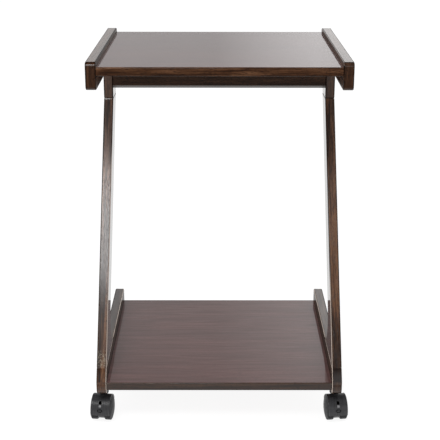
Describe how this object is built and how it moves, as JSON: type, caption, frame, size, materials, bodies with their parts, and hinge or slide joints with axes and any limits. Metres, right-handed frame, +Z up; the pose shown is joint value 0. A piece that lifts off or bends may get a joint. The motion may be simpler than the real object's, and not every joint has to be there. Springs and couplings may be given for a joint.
{
  "type": "rolling side table",
  "caption": "Side table with two Z-shaped side frames of dark stained board, a tabletop, a low shelf and swivelling twin-wheel casters.",
  "frame": {"origin": "on the floor, under the middle of the table", "axes": "+X to the right of someone facing the front, -Y to the front, +Z up"},
  "size_m": [0.501, 0.43, 0.705],
  "materials": {
    "tabletop_board": "dark walnut stain, satin lacquer",
    "shelf_board": "dark walnut stain, satin lacquer",
    "frame_board": "dark walnut stain, satin lacquer, grain along the board",
    "beech_dowel": "plain",
    "zinc_steel": "zinc plated",
    "black_socket": "moulded",
    "black_hood": "moulded, satin",
    "black_wheel": "moulded, satin"
  },
  "bodies": {
    "root": {"tabletop": "tabletop_board", "lower_shelf": "shelf_board", "rear_apron": "frame_board", "left_top_rail": "frame_board", "right_top_rail": "frame_board", "left_leg_head": "frame_board", "right_leg_head": "frame_board", "left_leg": "frame_board", "right_leg": "frame_board", "left_base_rail": "frame_board", "right_base_rail": "frame_board", "panel_dowels": "beech_dowel", "frame_dowels": "beech_dowel", "connector_bolts": "zinc_steel", "barrel_nuts": "zinc_steel", "front_left_socket": "black_socket", "front_left_stem": "zinc_steel", "front_right_socket": "black_socket", "front_right_stem": "zinc_steel", "rear_left_socket": "black_socket", "rear_left_stem": "zinc_steel", "rear_right_socket": "black_socket", "rear_right_stem": "zinc_steel"},
    "front_left_swivel": {"front_left_hood": "black_hood", "front_left_axle": "zinc_steel"},
    "front_left_outer_roller": {"front_left_outer_wheel": "black_wheel"},
    "front_left_inner_roller": {"front_left_inner_wheel": "black_wheel"},
    "front_right_swivel": {"front_right_hood": "black_hood", "front_right_axle": "zinc_steel"},
    "front_right_outer_roller": {"front_right_outer_wheel": "black_wheel"},
    "front_right_inner_roller": {"front_right_inner_wheel": "black_wheel"},
    "rear_left_swivel": {"rear_left_hood": "black_hood", "rear_left_axle": "zinc_steel"},
    "rear_left_outer_roller": {"rear_left_outer_wheel": "black_wheel"},
    "rear_left_inner_roller": {"rear_left_inner_wheel": "black_wheel"},
    "rear_right_swivel": {"rear_right_hood": "black_hood", "rear_right_axle": "zinc_steel"},
    "rear_right_outer_roller": {"rear_right_outer_wheel": "black_wheel"},
    "rear_right_inner_roller": {"rear_right_inner_wheel": "black_wheel"}
  },
  "joints": [
    {"name": "front_left_swivel_turn", "type": "hinge", "parent": "root", "child": "front_left_swivel", "pos_m": [-0.2255, -0.169, 0.048], "axis": [0, 0, 1], "continuous": true},
    {"name": "front_left_outer_roll", "type": "hinge", "parent": "front_left_swivel", "child": "front_left_outer_roller", "pos_m": [-0.22757, -0.18587, 0.024], "axis": [0.9925, -0.1219, 0], "continuous": true},
    {"name": "front_left_inner_roll", "type": "hinge", "parent": "front_left_swivel", "child": "front_left_inner_roller", "pos_m": [-0.22757, -0.18587, 0.024], "axis": [0.9925, -0.1219, 0], "continuous": true},
    {"name": "front_right_swivel_turn", "type": "hinge", "parent": "root", "child": "front_right_swivel", "pos_m": [0.2255, -0.169, 0.048], "axis": [0, 0, 1], "continuous": true},
    {"name": "front_right_outer_roll", "type": "hinge", "parent": "front_right_swivel", "child": "front_right_outer_roller", "pos_m": [0.22757, -0.18587, 0.024], "axis": [0.9925, 0.1219, 0], "continuous": true},
    {"name": "front_right_inner_roll", "type": "hinge", "parent": "front_right_swivel", "child": "front_right_inner_roller", "pos_m": [0.22757, -0.18587, 0.024], "axis": [0.9925, 0.1219, 0], "continuous": true},
    {"name": "rear_left_swivel_turn", "type": "hinge", "parent": "root", "child": "rear_left_swivel", "pos_m": [-0.2255, 0.169, 0.048], "axis": [0, 0, 1], "continuous": true},
    {"name": "rear_left_outer_roll", "type": "hinge", "parent": "rear_left_swivel", "child": "rear_left_outer_roller", "pos_m": [-0.22757, 0.15213, 0.024], "axis": [0.9925, -0.1219, 0], "continuous": true},
    {"name": "rear_left_inner_roll", "type": "hinge", "parent": "rear_left_swivel", "child": "rear_left_inner_roller", "pos_m": [-0.22757, 0.15213, 0.024], "axis": [0.9925, -0.1219, 0], "continuous": true},
    {"name": "rear_right_swivel_turn", "type": "hinge", "parent": "root", "child": "rear_right_swivel", "pos_m": [0.2255, 0.169, 0.048], "axis": [0, 0, 1], "continuous": true},
    {"name": "rear_right_outer_roll", "type": "hinge", "parent": "rear_right_swivel", "child": "rear_right_outer_roller", "pos_m": [0.22757, 0.15213, 0.024], "axis": [0.9925, 0.1219, 0], "continuous": true},
    {"name": "rear_right_inner_roll", "type": "hinge", "parent": "rear_right_swivel", "child": "rear_right_inner_roller", "pos_m": [0.22757, 0.15213, 0.024], "axis": [0.9925, 0.1219, 0], "continuous": true}
  ]
}
